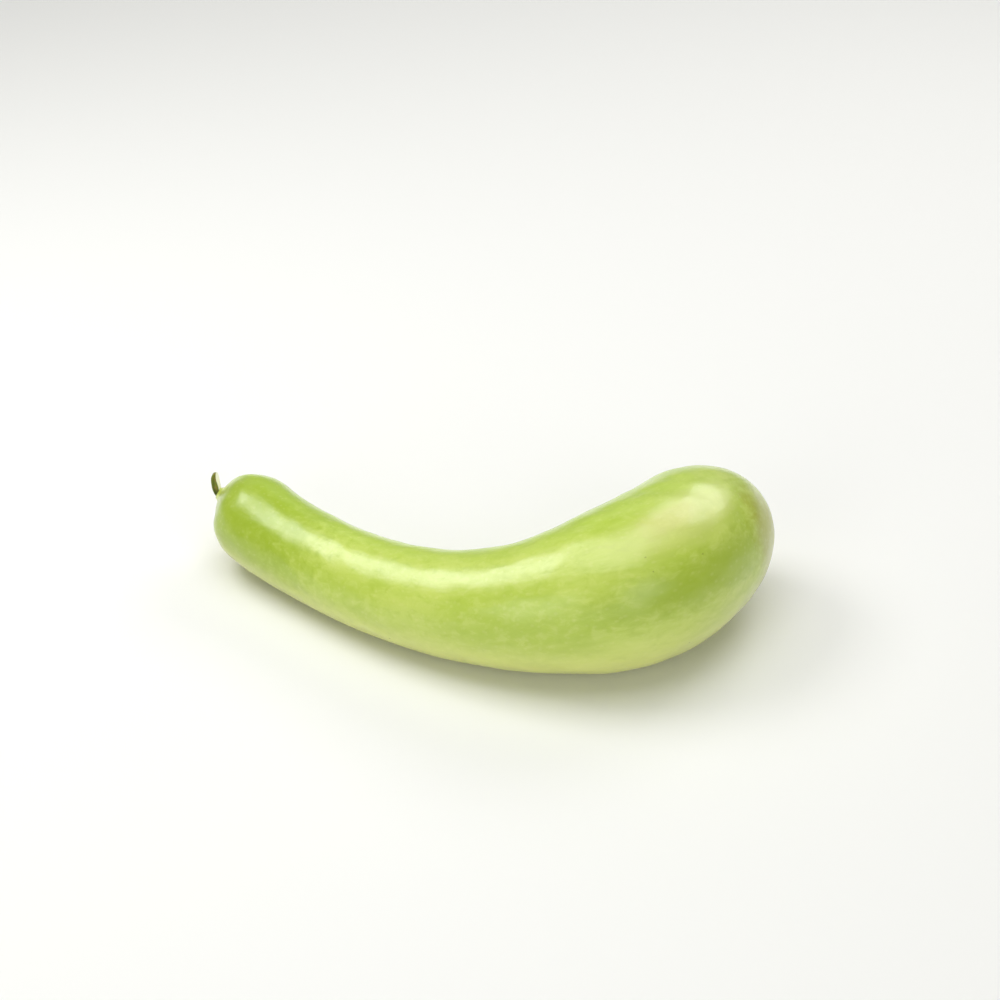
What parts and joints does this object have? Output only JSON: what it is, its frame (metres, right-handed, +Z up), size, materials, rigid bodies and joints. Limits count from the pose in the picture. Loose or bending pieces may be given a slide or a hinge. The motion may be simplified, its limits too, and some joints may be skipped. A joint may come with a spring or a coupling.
{
  "type": "bottle gourd",
  "caption": "Pale green bottle gourd lying on its side, a slim curved neck swelling into a full rounded belly, with a short woody stem stub.",
  "frame": {"origin": "on the surface the gourd lies on, under the middle of its bounding box", "axes": "+X along the gourd's greatest length, from the stem end towards the belly; +Y towards the hollow side of its bend; +Z up from the surface"},
  "size_m": [0.3494, 0.1728, 0.0989],
  "materials": {
    "gourd_skin": "waxy semi-gloss rind, pale yellow green with faint lengthwise mottling",
    "stem_rind": "matt olive green fibrous stem with a pale slanting cut"
  },
  "bodies": {
    "root": {"gourd_fruit": "gourd_skin", "stem": "stem_rind"}
  },
  "joints": []
}
